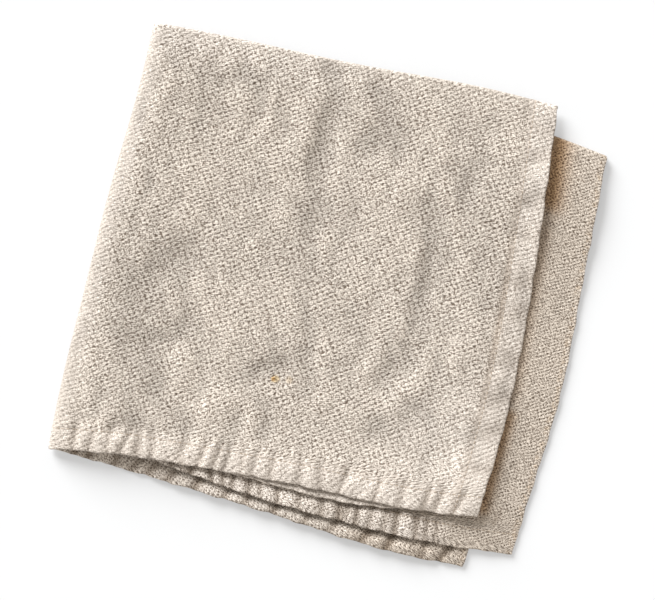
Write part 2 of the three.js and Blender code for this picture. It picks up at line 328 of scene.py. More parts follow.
# Colours of the cloth and the sewing thread, from dark to light, and their surfaces
CLOTH_COLOURS = ((0.145, 0.108, 0.080, 1), (0.765, 0.695, 0.615, 1))
CLOTH_SURFACE = {"Specular IOR Level": 0.18, "Sheen Weight": 0.12, "Sheen Roughness": 0.5}
THREAD_COLOURS = ((0.36, 0.27, 0.19, 1), (0.66, 0.56, 0.45, 1))
THREAD_SURFACE = {"Roughness": 0.8, "Specular IOR Level": 0.2}
THREAD_TWIST = {"Scale": 1500, "Distortion": 1.0}
THREAD_BUMP = 0.08

# Tints of the marked parts of the cloth, in order: worn paleness with painted light, painted shade in
# grooves and seams, painted shade on the lower layers, and the brown tinge with painted shade
TINTS = (
    ("worn_pale_and_painted_light", (1.17, 1.185, 1.215, 1)),
    ("groove", (0.42, 0.35, 0.28, 1)),
    ("lower_layers_painted_shade", (0.95, 0.928, 0.90, 1)),
    ("brown_tinge_and_painted_shade", (0.74, 0.54, 0.35, 1)),
)

# Floor and light, with the direction that the soft light comes from
FLOOR_HALF = 8.0
FLOOR_DROP = 0.2
FLOOR_SURFACE = {"Base Color": (0.557, 0.557, 0.557, 1), "Roughness": 0.9,
                 "Emission Color": (0.915, 0.955, 1.0, 1), "Emission Strength": 0.306}
LIGHT_FROM = (-0.624, 0.647, 0.438)
LIGHT = {"energy": 4.95, "angle": math.radians(36), "color": (0.96, 0.978, 1.0)}
SURROUND = {"Color": (1.0, 0.95, 0.89, 1), "Strength": 0.62}

# The photograph is taken from straight above, with the napkin turned a little clockwise
PHOTO_WIDTH = 0.34715
SENSOR_WIDTH = 36
CAMERA_HEIGHT = 1.5
CAMERA_TURN = math.radians(11.5)
CAMERA_AT = (-0.83, -1.31)


# Shapes of numbers
def soft_step(value):
    share = np.clip(value, 0, 1)
    return share * share * (3 - 2 * share)


def rising(value, start, over):
    return soft_step((value - start) / over)


def fading(value, end, over):
    return soft_step((end - value) / over)


def bump(distance):
    return np.exp(-distance * distance)


def bump_at(value, middle, reach):
    return bump((value - middle) / reach)


# Edges in plan
def bow_of(bows, along):
    parts = len(bows) + 1
    total = np.zeros_like(along)
    for wave in range(1, parts):
        weight = sum(bow * math.sin(math.pi * wave * (place + 1) / parts) for place, bow in enumerate(bows))
        total += 2 / parts * weight * np.sin(math.pi * wave * along)
    return total


def edge_points(name, along):
    start, end, bows = EDGES[name]
    start = np.array(CORNERS[start], float)
    run = np.array(CORNERS[end], float) - start
    left = np.array((-run[1], run[0])) / np.hypot(*run)
    along = np.asarray(along, float)
    return start + along[:, None] * run + bow_of(bows, along)[:, None] * left


# One layer in plan, blended between its four edges
def layer_plan(layer, across, down):
    left_edge, far_edge, side_edge, near_edge = layer[:4]
    ends = np.array((0.0, 1.0))
    left = edge_points(left_edge, down)[None]
    side = edge_points(side_edge, down)[None]
    far = edge_points(far_edge, across)[:, None]
    near = edge_points(near_edge, across)[:, None]
    far_left, far_side = edge_points(far_edge, ends)
    near_left, near_side = edge_points(near_edge, ends)
    right = across[:, None, None]
    low = down[None, :, None]
    upper_corners = (1 - low) * ((1 - right) * far_left + right * far_side)
    lower_corners = low * ((1 - right) * near_left + right * near_side)
    return (1 - right) * left + right * side + (1 - low) * far + low * near - upper_corners - lower_corners


# Distance from one layer to the next
def spacing_at(x, y):
    left_reach = np.where(x < CREST["left_fold"], SPACING_REACH["left_edge"], SPACING_REACH["left_fold"])
    left = bump_at(x, CREST["left_fold"], left_reach)
    far = bump_at(y, CREST["far_fold"], SPACING_REACH["far_fold"])
    side = soft_step((x - CREST["hem_x"]) / SPACING_REACH["hem"] + 1)
    near = soft_step((CREST["hem_y"] - y) / SPACING_REACH["hem"] + 1)
    field = SPACING["field"]
    gains = (
        left * (SPACING["left_fold"] - field),
        far * (SPACING["far_fold"] - field),
        near * (SPACING["near"] - field),
    )
    thinner = side * (1 - near) * (SPACING["side"] - field)
    waves = sum(rise * np.sin(2 * math.pi * x / pitch) for pitch, rise in HEM_WAVES)
    return field + np.maximum.reduce(gains) + thinner + near * waves / (len(LAYERS) - 1)


# Creases and crumples
def distance_to_run(x, y, start, end):
    run_x, run_y = end[0] - start[0], end[1] - start[1]
    along = ((x - start[0]) * run_x + (y - start[1]) * run_y) / (run_x ** 2 + run_y ** 2)
    along = np.clip(along, 0, 1)
    return np.hypot(x - start[0] - along * run_x, y - start[1] - along * run_y)


def crease_rise(x, y, start, end, half_width, rise):
    return rise * bump(distance_to_run(x, y, start, end) / half_width)


def plan_waves(x, y, waves):
    return sum(reach * np.sin(across * x + down * y + start) for reach, across, down, start in waves)


def crumple_rise(x, y):
    chance = np.random.default_rng(CRUMPLES["seed"])
    total = np.zeros_like(x)
    for _ in range(CRUMPLES["count"]):
        middle = chance.uniform(CRUMPLES["from"], CRUMPLES["to"])
        angle = math.pi / 2 + CRUMPLES["turn"] + chance.normal(0, CRUMPLES["lean"])
        half = chance.uniform(*CRUMPLES["length"]) / 2
        reach = half * np.array((math.cos(angle), math.sin(angle)))
        half_width = chance.uniform(*CRUMPLES["half_width"])
        rise = CRUMPLES["rise"] * chance.choice((-1, 1)) * chance.uniform(*CRUMPLES["strength"])
        total += crease_rise(x, y, middle - reach, middle + reach, half_width, rise)
    return np.clip(total, -CRUMPLES["limit"], CRUMPLES["limit"])


def lift_rise(index, x, y):
    total = np.zeros_like(x)
    for layer, at, reach, rise in LIFTS:
        if layer == index:
            total += rise * bump(np.hypot((x - at[0]) / reach[0], (y - at[1]) / reach[1]))
    return total


# All creases of the top layer together, with a slow wander
def all_creases(x, y):
    moved_x = x + plan_waves(x, y, DRIFT_ACROSS)
    moved_y = y + plan_waves(x, y, DRIFT_DOWN)
    strength = 1 + plan_waves(x, y, RISE_VARIES)
    total = crumple_rise(moved_x, moved_y)
    for crease in CREASES:
        total += strength * crease_rise(moved_x, moved_y, *crease)
    return total


def strip_crease_rise(x, y):
    return sum(crease_rise(x, y, *crease) for crease in STRIP_CREASES)


# How far one layer's near hem curls up
def curl_rise(index, x, y):
    total = np.zeros_like(x)
    after_start = rising(x, *FREE_FROM)
    before_end = fading(x, *FREE_TO)
    for layer, hem_above, reach, rise in FREE_HEMS:
        if layer == index:
            line = edge_points(hem_above, np.linspace(0, 1, 80))
            beyond = np.interp(x, line[:, 0], line[:, 1]) - y
            total += rise * after_start * before_end * soft_step(beyond / reach)
    return total


# Heights of the middle of all four layers, of which the lowest lies on the ground
def layer_heights(x, y, creases, thick):
    spacing = spacing_at(x, y)
    heights = []
    for index, (*_, below, creased) in enumerate(LAYERS):
        heights.append(LAYER_BASE + below * spacing + creased * creases + lift_rise(index, x, y))
    heights[2] += strip_crease_rise(x, y)
    heights[3] = thick / 2
    return [height + curl_rise(index, x, y) for index, height in enumerate(heights)]


# Stations along one direction: the turn at the fold and the share of the run from it
def stations(fold_depth, fold_steps, field_step, hem_lines):
    angles = np.linspace(-math.pi / 2, math.pi / 2, fold_steps + 1)
    round_share = fold_depth * (1 - np.cos(angles)) / MEAN_SIDE
    first = fold_depth / MEAN_SIDE
    last = 1 - hem_lines[0] / MEAN_SIDE
    count = round((last - first) * MEAN_SIDE / field_step)
    field = np.linspace(first, last, count + 1)[1:-1]
    run = np.concatenate((field, 1 - np.array(hem_lines) / MEAN_SIDE))
    ones = np.ones(len(run))
    turn = np.concatenate((-ones, np.sin(angles), ones))
    share = np.concatenate((run[::-1], round_share, run))
    return turn, share


# Distances along the cloth from its edges and folds over the grid, in millimetres
def edge_distances(columns, rows):
    across = columns[1][:, None]
    down = rows[1][None]
    return {
        "side": (1 - across) * MEAN_SIDE,
        "near": (1 - down) * MEAN_SIDE,
        "left": across * MEAN_SIDE,
        "far": down * MEAN_SIDE,
    }


# Where the side hem of the upper half and the near hems lie, from 0 to 1
def hem_shares(column_turn, away):
    side_hem = fading(away["side"], SIDE_HEM + HEM_SLOPE, HEM_SLOPE)
    near_hem = fading(away["near"], NEAR_HEM + HEM_SLOPE, HEM_SLOPE)
    return np.where(column_turn > 0, side_hem, 0), near_hem


# Thickness: more in the hems, pinched at the stitches and the inner fold, rounded off at the rim
def cloth_thickness(column_turn, row_turn, away):
    thick = CLOTH_THICK + (HEM_THICK - CLOTH_THICK) * np.maximum(*hem_shares(column_turn, away))
    side_pinch = np.where(column_turn > 0, bump_at(away["side"], SIDE_STITCHES, STITCH_PINCH_WIDTH), 0)
    near_pinch = bump_at(away["near"], NEAR_STITCHES, STITCH_PINCH_WIDTH)
    thick = thick * (1 - STITCH_PINCH * np.maximum(side_pinch, near_pinch))
    thick = thick * (1 - np.where(row_turn < 0, FOLD_PINCH, 0) * (1 - column_turn ** 2))
    from_rim = np.minimum(away["side"], away["near"])
    rounded = np.sqrt(np.clip(from_rim / RIM_ROUND, 0, 1))
    return thick * (RIM_THIN + (1 - RIM_THIN) * rounded)


# How far each point lies in a groove that the thread draws up across one hem, from 0 to 1
def groove_share(row, along, from_edge):
    chance = np.random.default_rng(row["seed"])
    total = np.zeros(np.broadcast(along, from_edge).shape)
    for place in row["at"]:
        slant = row["slant"] + chance.normal(0, PUCKER_VARIES["slant"])
        depth = chance.uniform(*PUCKER_VARIES["depth"])
        half_width = row["half_width"] * chance.uniform(*PUCKER_VARIES["half_width"])
        middle = place + slant * (from_edge - PUCKER_VARIES["turns_at"])
        total += depth * bump((along - middle) / half_width)
    return np.clip(total, 0, 1)


def pucker_fade(from_edge):
    at_edge = 0.65
    inward = fading(from_edge, 20, 9)
    return inward * (at_edge + (1 - at_edge) * rising(from_edge, 0, 4))


# Rise and painted shade of one row of puckers, with the dip and the painted dark line of its seam
def pucker_row(row, seam, groove, from_edge, within, drawn_in):
    rise = row["depth"] * pucker_fade(from_edge) * within * (seam["level"] - groove)
    rise = rise - row["trough"] * drawn_in * bump_at(from_edge, *seam["dip"])
    shade = groove * within * fading(from_edge, *seam["shade"])
    seam_painted_shade = drawn_in * bump_at(from_edge, *seam["dark"])
    return rise, row["shade"] * (shade + row["seam"] * seam_painted_shade)


# Rise, inset and painted shade of every hem's puckers over the grid
def hem_puckers(away, weights):
    rise, inset, shade = (np.zeros_like(weights[0]) for _ in range(3))
    for row in NEAR_PUCKERS:
        groove = groove_share(row, away["left"], away["near"])
        within = weights[row["layer"]] * fading(away["left"], row["fades"], 7)
        row_rise, row_shade = pucker_row(row, NEAR_SEAM, groove, away["near"], within, within)
        rise += row_rise
        shade += row_shade
        inset += PUCKER_INSET * groove * within * fading(away["near"], 9, 9)
    for row in SIDE_PUCKERS:
        groove = groove_share(row, away["far"], away["side"])
        within = weights[row["layer"]]
        most = bump_at(away["far"], *SIDE_DRAWN)
        drawn_in = within * (SIDE_DRAWN_LEAST + (1 - SIDE_DRAWN_LEAST) * most)
        row_rise, row_shade = pucker_row(row, SIDE_SEAM, groove, away["side"], within, drawn_in)
        rise += row_rise
        shade += row_shade
    return rise, inset, shade


# Wobble of a free edge, different for each layer
def edge_wobble(along, layer):
    return sum(reach * np.sin(2 * math.pi * along / pitch + 1.7 * layer) for pitch, reach in EDGE_WAVES)


# Share of each layer at each point of the grid
def layer_weights(columns, rows):
    upper = ((1 + columns[0]) / 2)[:, None]
    outer = ((1 + rows[0]) / 2)[None]
    return upper * outer, upper * (1 - outer), (1 - upper) * (1 - outer), (1 - upper) * outer


# The whole cloth in plan
def cloth_plan(columns, rows, weights, away, inset):
    plan = sum(
        weight[..., None] * layer_plan(layer, columns[1], rows[1])
        for weight, layer in zip(weights, LAYERS)
    )
    x = plan[..., 0]
    y = plan[..., 1] + inset
    at_side = soft_step(1 - away["side"] / EDGE_WAVES_IN)
    at_near = soft_step(1 - away["near"] / EDGE_WAVES_IN)
    for index, weight in enumerate(weights):
        x = x + weight * at_side * edge_wobble(away["near"], index)
        y = y + weight * at_near * edge_wobble(away["side"], index)
    return x, y


# Marks that follow the shape of the cloth: relief, painted shade in grooves, seams and creases, and the
# brown tinge with painted shade beside the top layer's edge
def shape_marks(x, y, weights, creases, rise, shade):
    # Painted shade in the deep troughs of the third layer's creases
    deep = np.clip(-strip_crease_rise(x, y) - 0.25, 0, 1)
    shade = shade + 1.5 * weights[2] * deep
    # Painted brown shade beside the top layer's edge, with some brown tinge of the cloth
    tinges_and_shades = [share * bump(distance_to_run(x, y, *run) / reach) for run, reach, share in BROWN_TINGE_AND_PAINTED_SHADE]
    return {
        "relief": weights[0] * creases + rise,
        "groove": np.clip(shade, 0, 1),
        "brown_tinge_and_painted_shade": weights[2] * np.maximum.reduce(tinges_and_shades),
    }


# Middle of the cloth in millimetres, with its thickness and marks
def cloth_middle(columns, rows):
    weights = layer_weights(columns, rows)
    away = edge_distances(columns, rows)
    thick = cloth_thickness(columns[0][:, None], rows[0][None], away)
    rise, inset, shade = hem_puckers(away, weights)
    x, y = cloth_plan(columns, rows, weights, away, inset)
    creases = all_creases(x, y)
    heights = layer_heights(x, y, creases, thick)
    z = sum(weight * height for weight, height in zip(weights, heights)) + rise
    middle = np.stack((x + DRAWING_SHIFT[0], y + DRAWING_SHIFT[1], z), axis=2)
    return middle, thick, shape_marks(x, y, weights, creases, rise, shade)


# Direction of the good face
def face_directions(middle):
    across = np.gradient(middle, axis=0)
    down = np.gradient(middle, axis=1)
    direction = np.cross(down, across)
    return direction / np.linalg.norm(direction, axis=2, keepdims=True)


# Length along the cloth from its fold
def length_from_fold(middle, axis):
    steps = np.linalg.norm(np.diff(middle, axis=axis), axis=2)
    start = np.zeros_like(np.take(middle, [0], axis=axis)[..., 0])
    length = np.concatenate((start, np.cumsum(steps, axis=axis)), axis=axis)
    half_way = (middle.shape[axis] - 1) // 2
    return length - np.take(length, [half_way], axis=axis)


# Quads of both faces and of the rim that closes them
def sheet_quads(column_count, row_count):
    index = np.arange(column_count * row_count).reshape(column_count, row_count)
    good = np.stack((index[:-1, :-1], index[:-1, 1:], index[1:, 1:], index[1:, :-1]), axis=2).reshape(-1, 4)
    back = good[:, ::-1] + index.size
    rim = np.concatenate((index[0, :-1], index[:-1, -1], index[-1, :0:-1], index[:0:-1, 0]))
    after = np.roll(rim, -1)
    edge = np.stack((after, rim, rim + index.size, after + index.size), axis=1)
    return np.concatenate((good, back, edge))


def point_values(mesh, name, values, kind="FLOAT", field="value"):
    layer = mesh.attributes.new(name, kind, "POINT")
    layer.data.foreach_set(field, np.asarray(values, np.float32).ravel())


# Wear of the top layer's near right corner, from 0 to 1
def corner_wear(away):
    return bump_at(away["left"], *WORN_CORNER["across"]) * bump_at(away["far"], *WORN_CORNER["down"])


# How open the weave looks, which may go a little past 1
def weave_openness(column_turn, away, hem):
    upper = column_turn > 0
    field = np.where(upper, OPEN_WEAVE["field"], OPEN_WEAVE["strip"])
    for fold, place in CLOSES.items():
        field = field + (OPEN_WEAVE[fold] - field) * fading(away[fold], *place)
    in_hem = np.where(upper, OPEN_WEAVE["hem"], OPEN_WEAVE["lower_hem"])
    beside_hem = OPEN_WEAVE["field"] + (in_hem - OPEN_WEAVE["field"]) * hem
    worn_corner = 1 - WORN_CORNER["closes"] * corner_wear(away)
    worn_end = 1 - WORN_END["closes"] * rising(away["far"], *WORN_END["from"])
    top = np.minimum(field, beside_hem) * worn_corner * worn_end
    return np.where(upper, top, field + (in_hem - field) * hem)


# How far the lower half is darkened by painted shade from the layers above, where a share past 1 counts as 1
def lower_painted_shade(column_turn, row_turn, away, hem):
    dark_from = np.where(row_turn < 0, DARK_HEM["third_from"], DARK_HEM["lowest_from"])
    dark_hem = DARK_HEM["share"] * rising(away["left"], dark_from, DARK_HEM["over"])
    lower = np.where(column_turn < 0, rising(away["left"], 0, LOWER_TONE_OVER), 0)
    return lower * (1 + (dark_hem - 1) * hem)


# A share that changes evenly from a fold to the edge
def changing(from_fold, share, change):
    return share + change * from_fold / MEAN_SIDE


# How far the upper half is paler, from wear in the hems and corner and from painted light along the left and
# far folds, where a share past 1 counts as 1
def upper_paleness(away, side_hem, near_hem):
    at_fold = PALE_LEFT_FOLD["at_fold"]
    # Painted light along the left fold, which faces the light
    left_fold = at_fold + (1 - at_fold) * rising(away["left"], *PALE_LEFT_FOLD["rises"])
    left_fold = left_fold * fading(away["left"], *PALE_LEFT_FOLD["fades"])
    less = PALE_LEFT_FOLD["less"] * rising(away["far"], *PALE_LEFT_FOLD["less_from"])
    # Painted light along the far fold, strongest at its left end
    far_fold = np.clip(changing(away["left"], 1.1, -1.5), 0, 1)
    far_fold = far_fold * fading(away["far"], 26, 22)
    near = near_hem * changing(away["left"], *PALE_HEMS["near"])
    side = side_hem * changing(away["far"], *PALE_HEMS["side"])
    corner = WORN_CORNER["pale"] * corner_wear(away)
    return np.maximum.reduce((left_fold * (1 - less), far_fold, near, side, corner))


# How far the lower half is paler, from wear in the near hems and from painted light on the selvedge's rim
def lower_paleness(row_turn, away, near_hem):
    gap = PALE_THIRD_HEM["gap"] * bump_at(away["left"], *PALE_THIRD_HEM["gap_at"])
    third = (PALE_THIRD_HEM["share"] - gap) * (1 - rising(away["left"], *PALE_THIRD_HEM["ends"]))
    lowest = 0.5 * (1 - rising(away["left"], 90, 60))
    hem = near_hem * np.where(row_turn < 0, third, lowest)
    # Painted light on the selvedge's rim, which lies in shade
    return np.maximum(hem, fading(away["side"], 1.1, 0.8))


# Marks that go by the place on the cloth
def cloth_zones(columns, rows):
    column_turn = columns[0][:, None]
    row_turn = rows[0][None]
    away = edge_distances(columns, rows)
    side_hem, near_hem = hem_shares(column_turn, away)
    hem = np.maximum(side_hem, near_hem)
    selvedge = bump_at(away["side"], *SELVEDGE["at"])
    upper_pale = upper_paleness(away, side_hem, near_hem)
    lower_pale = lower_paleness(row_turn, away, near_hem)
    zones = {
        "open_weave": weave_openness(column_turn, away, hem),
        "selvedge": np.where(column_turn < 0, selvedge, 0),
        "lower_layers_painted_shade": lower_painted_shade(column_turn, row_turn, away, hem),
        "worn_pale_and_painted_light": np.where(column_turn > 0, upper_pale, lower_pale),
        "finer_weave": np.where(column_turn < 0, rising(away["left"], 0, FINER_OVER), 0),
    }
    return {name: np.broadcast_to(values, hem.shape) for name, values in zones.items()}


# A mesh or other data as an object in the scene
def new_object(name, data):
    made = bpy.data.objects.new(name, data)
    bpy.context.scene.collection.objects.link(made)
    return made


# The folded sheet as a closed mesh with its flat pattern as UV map
def folded_sheet(columns, rows):
    middle, thick, marks = cloth_middle(columns, rows)
    offset = face_directions(middle) * thick[..., None] / 2
    points = np.concatenate(((middle + offset).reshape(-1, 3), (middle - offset).reshape(-1, 3)))
    points[:, 2] = np.maximum(points[:, 2], 0)
    quads = sheet_quads(*middle.shape[:2])
    mesh = bpy.data.meshes.new("napkin_cloth")
    mesh.from_pydata((points * MM).tolist(), [], quads.tolist())
    flat = np.stack((length_from_fold(middle, 0), length_from_fold(middle, 1)), axis=2).reshape(-1, 2) * MM
    pattern = mesh.uv_layers.new(name="flat_cloth")
    pattern.data.foreach_set("uv", np.concatenate((flat, flat))[quads.ravel()].astype(np.float32).ravel())
    mesh.polygons.foreach_set("use_smooth", np.ones(len(quads), bool))
    marks.update(cloth_zones(columns, rows))
    for name, values in marks.items():
        point_values(mesh, name, np.concatenate((values, values)))
    mesh.validate()
    mesh.update()
    return new_object("napkin_cloth", mesh), points.reshape(2, *middle.shape) * MM, flat


# Node helpers
def make_node(tree, kind, sources=None, **settings):
    made = tree.nodes.new(kind)
    for name, value in settings.items():
        setattr(made, name, value)
    feed_all(tree, made, sources or {})
    return made


def feed(tree, socket, source):
    if isinstance(source, bpy.types.NodeSocket):
        tree.links.new(source, socket)
    else:
        socket.default_value = source


def feed_all(tree, made, sources):
    for name, source in sources.items():
        feed(tree, made.inputs[name], source)


# A new node group with its sockets
def new_group(name, kind, inputs, outputs):
    group = bpy.data.node_groups.new(name, kind)
    for way, sockets in (("INPUT", inputs), ("OUTPUT", outputs)):
        for socket, value in sockets.items():
            group.interface.new_socket(socket, in_out=way, socket_type="NodeSocket" + value)
    given = make_node(group, "NodeGroupInput").outputs
    result = make_node(group, "NodeGroupOutput").inputs
    return group, given, result


def number(tree, operation, first, second=0.0, third=0.0, clamp=False):
    made = make_node(tree, "ShaderNodeMath", operation=operation, use_clamp=clamp)
    for socket, source in zip(made.inputs, (first, second, third)):
        feed(tree, socket, source)
    return made.outputs[0]


def times(tree, first, second):
    return number(tree, "MULTIPLY", first, second)


# A value times a factor, plus another value
def scaled(tree, value, factor, plus, clamp=False):
    return number(tree, "MULTIPLY_ADD", value, factor, plus, clamp)


def vector(tree, operation, first, second=(0, 0, 0)):
    made = make_node(tree, "ShaderNodeVectorMath", operation=operation)
    feed(tree, made.inputs[0], first)
    if operation == "SCALE":
        feed(tree, made.inputs["Scale"], second)
    else:
        feed(tree, made.inputs[1], second)
    return made.outputs["Value"] if operation in ("LENGTH", "DOT_PRODUCT") else made.outputs["Vector"]


def blend_colours(tree, share, first, second, mode="MIX"):
    made = make_node(tree, "ShaderNodeMix", data_type="RGBA", blend_type=mode)
    feed_all(tree, made, {"Factor": share, "A": first, "B": second})
    return made.outputs["Result"]


def smooth_range(tree, value, low, high, to_low=0.0, to_high=1.0):
    made = make_node(tree, "ShaderNodeMapRange", interpolation_type="SMOOTHSTEP")
    for socket, source in zip(made.inputs, (value, low, high, to_low, to_high)):
        feed(tree, socket, source)
    return made.outputs["Result"]


def grainy(tree, place, scale, detail=2.0, roughness=0.5):
    sources = {"Vector": place, "Scale": scale, "Detail": detail, "Roughness": roughness}
    return make_node(tree, "ShaderNodeTexNoise", sources, noise_dimensions="3D").outputs


def about_zero(tree, value):
    return number(tree, "SUBTRACT", value, 0.5)


# Noise drawn out one way, about zero
def drawn_out(tree, place, stretch, detail=2.0, roughness=0.5):
    noise = grainy(tree, vector(tree, "MULTIPLY", place, stretch), 1.0, detail, roughness)
    return about_zero(tree, noise["Fac"])


# Weave of coarse threads, tied down at every fifth crossing, as a shader group
def weave_group():
    inputs = {"Cloth": "Vector", "Warp": "Vector", "Weft": "Vector", "Contrast": "Float"}
    outputs = {"Height": "Float", "Tone": "Float"}
    group, given, result = new_group("coarse_weave", "ShaderNodeTree", inputs, outputs)
    place = given["Cloth"]
    for scale, reach in WEAVE_WANDER:
        place = wandering(group, place, scale, reach * MM)
    warp = vector(group, "DOT_PRODUCT", place, given["Warp"])
    weft = vector(group, "DOT_PRODUCT", place, given["Weft"])
    along, across = row_phases(group, warp, weft)
    threads = woven_threads(group, warp, weft)
    floats = float_rows(group, along, across, place)
    grain = yarn_grain(group, along, across, place)
    relief = scaled(group, threads, 0.5, floats)
    feed(group, result["Height"], scaled(group, grain, 0.6, relief))
    feed(group, result["Tone"], weave_tone(group, threads, floats, grain, given["Contrast"]))
    return group


# Tone of the weave, livelier where it is more open
def weave_tone(group, threads, floats, grain, contrast):
    woven = times(group, scaled(group, threads, THREADS_IN_TONE, floats), contrast)
    tone = scaled(group, woven, *WEAVE_IN_TONE)
    strength = scaled(group, contrast, *GRAIN_IN_TONE)
    return scaled(group, grain, strength, tone, clamp=True)


# Counts of threads across the slanting rows of floats and along them
def row_phases(group, warp, weft):
    tied = about_zero(group, warp)
    crossing = about_zero(group, weft)
    along = scaled(group, crossing, 2.0, tied)
    across = number(group, "SUBTRACT", times(group, tied, 2.0), crossing)
    return along, across


# Light rows where the weft floats and dark ones where it is tied down, about zero
def float_rows(group, along, across, place):
    turn = 2 * math.pi / BINDING_EVERY
    rows = number(group, "COSINE", times(group, along, turn))
    steps = number(group, "COSINE", times(group, across, turn))
    both = scaled(group, rows, FLOATS["rows"], scaled(group, steps, *FLOATS["steps"]))
    pits = scaled(group, number(group, "POWER", both, FLOATS["sharp"]), *FLOATS["pits"])
    noise = grainy(group, place, FLOATS_VARY["scale"], 1.0)["Fac"]
    lively = smooth_range(group, noise, *FLOATS_VARY["range"])
    return times(group, pits, lively)


# Weft threads over warp threads: the height of the upper one, about zero
def woven_threads(group, warp, weft):
    row = number(group, "FLOOR", weft)
    shifted = scaled(group, row, 2.0, about_zero(group, warp))
    away = number(group, "WRAP", shifted, BINDING_EVERY / 2, -BINDING_EVERY / 2)
    dip = smooth_range(group, number(group, "ABSOLUTE", away), 0.2, 1.25, 1.0, 0.0)
    sunk = scaled(group, dip, -0.8, 1.0)
    raised = times(group, dip, 0.7)
    weft_height = times(group, thread_round(group, weft), sunk)
    warp_height = times(group, thread_round(group, warp), raised)
    height = number(group, "MAXIMUM", weft_height, warp_height)
    return number(group, "SUBTRACT", height, 0.6)


# Round of each thread over its width
def thread_round(group, threads):
    away = about_zero(group, number(group, "FRACT", threads))
    square = times(group, away, away)
    return scaled(group, square, -3.6, 1.0)


# Moves each place a little, so that the rows wander
def wandering(group, place, scale, reach):
    drift = grainy(group, place, scale, 1.0)["Color"]
    drift = vector(group, "SUBTRACT", drift, (0.5, 0.5, 0.5))
    return vector(group, "ADD", place, vector(group, "SCALE", drift, reach))


# Strokes of the yarn along the rows, weaker ones across them, and speckle, about zero
def yarn_grain(group, along, across, place):
    rows = make_node(group, "ShaderNodeCombineXYZ", {"X": along, "Y": across})
    strokes = drawn_out(group, rows.outputs["Vector"], STROKES["along"], 1.0, STROKES["roughness"])
    crosswise = drawn_out(group, rows.outputs["Vector"], STROKES["across"], 1.0, STROKES["roughness"])
    strokes = scaled(group, crosswise, STROKES["across_share"], strokes)
    speckle = grainy(group, place, SPECKLE["scale"], 1.0, SPECKLE["roughness"])["Fac"]
    return scaled(group, about_zero(group, speckle), SPECKLE["share"], strokes)


# Uneven yarn: long streaks along both thread directions, about zero, as a shader group
def slub_group():
    sockets = {"Cloth": "Vector"}, {"Streaks": "Float"}
    group, given, result = new_group("uneven_yarn", "ShaderNodeTree", *sockets)
    across, down = (drawn_out(group, given["Cloth"], stretch) for stretch in STREAKS)
    both = number(group, "ADD", across, down)
    feed(group, result["Streaks"], times(group, both, 0.5))
    return group


def place_group(tree, group, sources):
    return make_node(tree, "ShaderNodeGroup", sources, node_tree=group).outputs


def new_material(name):
    material = bpy.data.materials.new(name)
    material.use_nodes = True
    tree = material.node_tree
    shader = next(node for node in tree.nodes if node.type == "BSDF_PRINCIPLED")
    return material, tree, shader


def bumped(tree, height, distance):
    made = make_node(tree, "ShaderNodeBump", {"Strength": 1.0, "Distance": distance * MM, "Height": height})
    return made.outputs["Normal"]


# Tone and height of the weave, finer on the lower half
def linen_weave(tree, cloth, weave):
    openness = mark(tree, "open_weave")
    weaves = []
    for finer in (1.0, FINER_BELOW):
        warp, weft = (
            (finer * across / MM, finer * down / MM, 0.0)
            for across, down in (WARP_THREADS, WEFT_THREADS)
        )
        sources = {"Cloth": cloth, "Warp": warp, "Weft": weft, "Contrast": openness}
        weaves.append(place_group(tree, weave, sources))
    coarse, fine = weaves
    share = mark(tree, "finer_weave")
    tone = blend_values(tree, share, coarse["Tone"], fine["Tone"])
    height = blend_values(tree, share, coarse["Height"], fine["Height"])
    return tone, height


# How light the cloth is by its yarn and slow patches, with painted shade in the troughs of creases and
# puckers and painted light on their ridges, as a grey
def linen_level(tree, cloth, streaks):
    yarn = scaled(tree, streaks, 0.5, 1.0)
    patch = about_zero(tree, grainy(tree, cloth, 32)["Fac"])
    patchy = scaled(tree, patch, 0.22, 1.0)
    # Painted shade in the troughs and painted light on the ridges, by the height of the relief
    relief = smooth_range(tree, mark(tree, "relief"), -1.1, 0.7, 0.84, 1.08)
    level = times(tree, times(tree, yarn, patchy), relief)
    grey = make_node(tree, "ShaderNodeCombineColor")
    for socket in grey.inputs:
        feed(tree, socket, level)
    return grey.outputs["Color"]


# Share of the dotted line along the selvedge
def selvedge_dots(tree, cloth):
    noise = grainy(tree, cloth, SELVEDGE["scale"], 1.0)["Fac"]
    return times(tree, mark(tree, "selvedge"), smooth_range(tree, noise, *SELVEDGE["dots"]))


# Natural linen: pale threads over brown gaps, with uneven yarn, tints that paint shade and light, and the
# small stain
def linen_material(weave, slubs, stain_uv):
    material, tree, shader = new_material("natural_linen")
    cloth = make_node(tree, "ShaderNodeUVMap", uv_map="flat_cloth").outputs["UV"]
    tone, weave_height = linen_weave(tree, cloth, weave)
    streaks = place_group(tree, slubs, {"Cloth": cloth})["Streaks"]
    colour = blend_colours(tree, tone, *CLOTH_COLOURS)
    colour = blend_colours(tree, 1.0, colour, linen_level(tree, cloth, streaks), "MULTIPLY")
    for name, tint in TINTS:
        colour = blend_colours(tree, mark(tree, name), colour, tint, "MULTIPLY")
    colour = blend_colours(tree, selvedge_dots(tree, cloth), colour, SELVEDGE["tint"], "MULTIPLY")
    feed(tree, shader.inputs["Base Color"], stained(tree, cloth, colour, stain_uv))
    feed(tree, shader.inputs["Roughness"], scaled(tree, tone, -0.12, 0.96))
    feed_all(tree, shader, CLOTH_SURFACE)
    height = scaled(tree, streaks, 0.3, weave_height)
    feed(tree, shader.inputs["Normal"], bumped(tree, height, WEAVE_BUMP))
    return material


# One value turning into another as the share goes from 0 to 1
def blend_values(tree, share, first, second):
    apart = number(tree, "SUBTRACT", second, first)
    return scaled(tree, apart, share, first)


# A value that the sheet carries at each point
def mark(tree, name):
    return make_node(tree, "ShaderNodeAttribute", attribute_name=name).outputs["Fac"]


